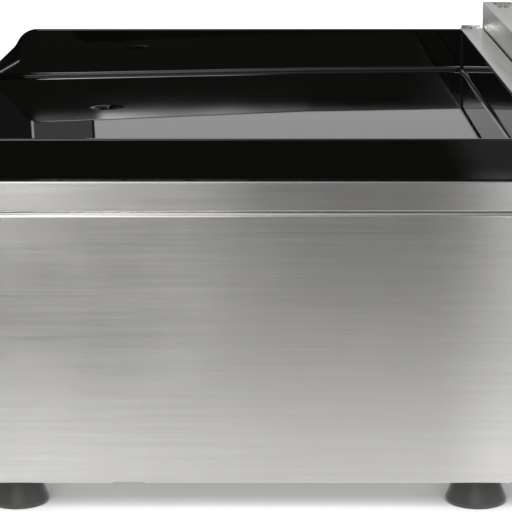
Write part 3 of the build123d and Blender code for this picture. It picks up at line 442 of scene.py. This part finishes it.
# The camera sees a white floor with the griddle's own shadow. What the griddle reflects is a floor
# that is brightest beside the case, falls off with distance, and ends about a metre away. It is
# dimmer in the middle distance to the front, and brighter to the rear.
FLOOR = 12.0
CASE_HALF_X = 0.3
CASE_HALF_Y = 0.24
FALL_OFF = -1.9
DARKEST = 0.02
paper = Light("studio_floor")
away = paper.calculate(
    "MAXIMUM",
    paper.calculate(
        "MAXIMUM", paper.past(paper.x, CASE_HALF_X), paper.past(paper.y, CASE_HALF_Y)
    ),
)
falling = paper.calculate("EXPONENT", paper.product(away, FALL_OFF))
# Right at the case the floor that the griddle reflects is painted darker: a painted shadow of the
# case.
painted_case_shadow = paper.ramp(away, 0.0, 0.14, 0.78, 1.0)
end = paper.ramp(away, 0.78, 1.15, 1.16, 0.0)
# How far to the rear a place is, as the side panel shows it.
aim = paper.calculate("DIVIDE", paper.y, paper.total(paper.x, 1.1))
dip = paper.product(
    paper.ramp(aim, -0.078, -0.025, -0.68, 0.0),
    paper.ramp(away, 0.26, 0.42, 0.0, 1.0),
    paper.ramp(away, 0.85, 1.02, 1.0, 0.0),
)
sides = paper.total(
    paper.ramp(aim, -0.12, -0.03, 1.1, 1.0), paper.ramp(aim, 0.08, 0.118, 0.0, 0.26), dip
)
rear_patch = paper.product(
    paper.ramp(paper.y, 0.23, 0.29, 0.0, 1.0),
    paper.spread(paper.x, 1.18, 1.32, 0.0, 1.0),
    paper.spread(paper.x, 1.42, 1.52, 1.0, 0.25),
)
reflected = paper.total(paper.product(falling, end, painted_case_shadow, sides), rear_patch, DARKEST)
white = paper.add("ShaderNodeBsdfDiffuse")
white.inputs["Color"].default_value = (0.8, 0.8, 0.8, 1)
seen = paper.add("ShaderNodeAddShader")
paper.link(white.outputs["BSDF"], seen.inputs[0])
paper.link(paper.emit(paper.ramp(away, 0.05, 0.5, 0.0, 1.0)), seen.inputs[1])
flat_card(
    "floor",
    [(-FLOOR, -FLOOR, 0), (FLOOR, -FLOOR, 0), (FLOOR, FLOOR, 0), (-FLOOR, FLOOR, 0)],
    paper.finish(
        paper.choose(
            paper.rays["Is Camera Ray"], paper.emit(reflected), seen.outputs["Shader"]
        )
    ),
)

# The cards stand just clear of the floor.
GROUND = 0.001
BACKDROP_X = -2.6
BACKDROP_LEVEL = 0.64
backdrop = Light("studio_backdrop")
wall_x(
    "backdrop",
    BACKDROP_X,
    (-0.325, 2.6),
    (GROUND, 2.4),
    backdrop.finish(backdrop.emit(BACKDROP_LEVEL)),
)
wing = Light("studio_wing")
wall_x(
    "backdrop_wing",
    BACKDROP_X,
    (-0.447, -0.33),
    (GROUND, 0.646),
    wing.finish(wing.emit(wing.spread(wing.y, -0.444, -0.442, 0.6, 0.09))),
)


def left_to_right(card, left, middle, left_start, left_end):
    """The level of the front softbox, which is brightest at its left end, to the front."""
    return card.product(
        card.spread(card.y, left_start, left_end, left, middle),
        card.ramp(card.y, -0.09, 0.03, 1.0, 0.58),
        card.spread(card.y, 0.03, 0.3, 1.0, 0.45),
    )


# In what two surfaces reflect, such as the pan's floor by way of its far wall, the softbox is a
# strong lamp with a soft lower edge that rises to the rear, and to the rear only its lowest strip
# is lit. In one reflection it is dimmer, and goes on down to the floor.
SOFTBOX_Y = (-0.49, 0.9)
SOFTBOX_Z = (0.63, 1.6)
FIRST_REFLECTION = 0.16
softbox = Light("studio_softbox")
core = left_to_right(softbox, 28.0, 9.2, -0.47, -0.2)
edge_rise = softbox.ramp(softbox.y, -0.12, 0.2, 0.0, 0.011)
edge = softbox.ramp(softbox.calculate("SUBTRACT", softbox.z, edge_rise), 0.642, 0.66, 0.0, 1.0)
corner = softbox.calculate(
    "MAXIMUM",
    softbox.spread(softbox.y, -0.36, -0.34, 0.1, 1.0),
    softbox.spread(softbox.z, 0.74, 0.78, 0.1, 1.0),
)
strip = softbox.calculate(
    "MAXIMUM",
    softbox.ramp(softbox.y, -0.12, 0.06, 1.0, 0.05),
    softbox.ramp(softbox.z, 0.68, 0.74, 1.0, 0.05),
)
wall_x(
    "front_softbox",
    2.5,
    SOFTBOX_Y,
    SOFTBOX_Z,
    softbox.finish(
        softbox.by_depth(
            softbox.product(core, FIRST_REFLECTION), softbox.product(core, strip, edge, corner)
        ),
        lamp=True,
    ),
)
SCREEN = 0.1
lower = Light("studio_lower")
lower_level = lower.product(
    left_to_right(lower, 4.1, 1.55, -0.47, -0.15), lower.ramp(lower.y, -0.12, 0.06, 1.0, 0.25)
)
wall_x(
    "front_lower",
    2.55,
    SOFTBOX_Y,
    (GROUND, 0.655),
    lower.finish(lower.by_depth(lower.total(lower_level, SCREEN), SCREEN), lamp=True),
)
screen = Light("studio_screen")
wall_x("front_screen", 2.6, (-2.5, 2.5), (GROUND, 0.66), screen.finish(screen.emit(SCREEN)))

# A board to the right of the softbox lights the rear end of the pan's walls.
bounce = Light("studio_bounce")
board = bounce.product(
    bounce.ramp(bounce.z, 0.3, 0.5, 2.9, 0.45), bounce.ramp(bounce.y, 0.32, 0.48, 0.0, 1.0)
)
wall_x(
    "bounce_board",
    2.45,
    (0.32, 1.2),
    (GROUND, 0.65),
    bounce.finish(bounce.emit(bounce.total(board, SCREEN))),
)

# The ceiling is what the faces that look up reflect.
ceiling = Light("studio_ceiling")
over_front = ceiling.product(
    ceiling.ramp(ceiling.y, -0.5, 0.3, 1.6, 0.5), ceiling.ramp(ceiling.x, -0.9, -0.6, 0.0, 1.0)
)
over_back = ceiling.ramp(ceiling.x, -0.9, -0.6, 0.45, 0.0)
ceiling_card = flat_card(
    "ceiling",
    [(-2.4, -0.47, 2.3), (-2.4, 1.4, 2.3), (2.6, 1.4, 2.3), (2.6, -0.47, 2.3)],
    ceiling.finish(ceiling.emit(ceiling.total(over_front, over_back))),
)
ceiling_card.visible_camera = False

# Two more boards face the griddle's front and rear.
fill = Light("studio_fill")
wall_y("front_fill", -2.8, (-2.4, 2.4), (GROUND, 1.8), fill.finish(fill.emit(0.3)))
behind = Light("studio_behind")
wall_y(
    "rear_board",
    2.8,
    (2.4, -2.4),
    (0.3, 2.3),
    behind.finish(behind.emit(behind.ramp(behind.z, 0.7, 2.2, 1.0, 0.15))),
)

# The world is white to the camera, and almost dark to everything else.
WORLD_LEVEL = 0.012
world = bpy.data.worlds.new("studio_world")
scene.world = world
world.use_nodes = True
tree = world.node_tree
rays = tree.nodes.new("ShaderNodeLightPath")
level = tree.nodes.new("ShaderNodeMapRange")
level.inputs["To Min"].default_value = WORLD_LEVEL
level.inputs["To Max"].default_value = 1.0
tree.links.new(rays.outputs["Is Camera Ray"], level.inputs["Value"])
tree.links.new(level.outputs["Result"], tree.nodes["Background"].inputs["Strength"])
tree.nodes["Background"].inputs["Color"].default_value = (1, 1, 1, 1)


def area_light(name, place, aim, width, height, power):
    """A rectangular area light at a place, turned to face a point, that shows in no reflection."""
    light = bpy.data.lights.new(name, "AREA")
    light.shape = "RECTANGLE"
    light.size = width
    light.size_y = height
    light.energy = power
    lamp = bpy.data.objects.new(name, light)
    scene.collection.objects.link(lamp)
    lamp.location = place
    lamp.visible_camera = False
    lamp.visible_glossy = False
    direction = Vector(aim) - Vector(place)
    lamp.rotation_euler = direction.to_track_quat("-Z", "Y").to_euler()


area_light("top_light", (0.1, 0.0, 2.2), (0.1, 0.0, 0.0), 2.0, 2.0, 34)
area_light("front_light", (2.2, 0.0, 0.5), (0.25, 0.0, 0.0), 2.0, 0.4, 33)
area_light("high_light", (1.5, 0.0, 1.25), (0.28, 0.0, 0.0), 2.0, 1.0, 35)


# ---------------------------------------------------------------- camera
LENS = 154.69
SENSOR = 36
CAMERA_PLACE = (1.6132, 0.0046, 0.4545)
CAMERA_TILT = radians(77.593)
camera = bpy.data.cameras.new("camera")
camera.lens = LENS
camera.sensor_width = SENSOR
camera.clip_start = 0.01
camera_object = bpy.data.objects.new("camera", camera)
scene.collection.objects.link(camera_object)
camera_object.location = CAMERA_PLACE
camera_object.rotation_euler = (CAMERA_TILT, 0, pi / 2)
scene.camera = camera_object

scene.view_settings.view_transform = "Standard"
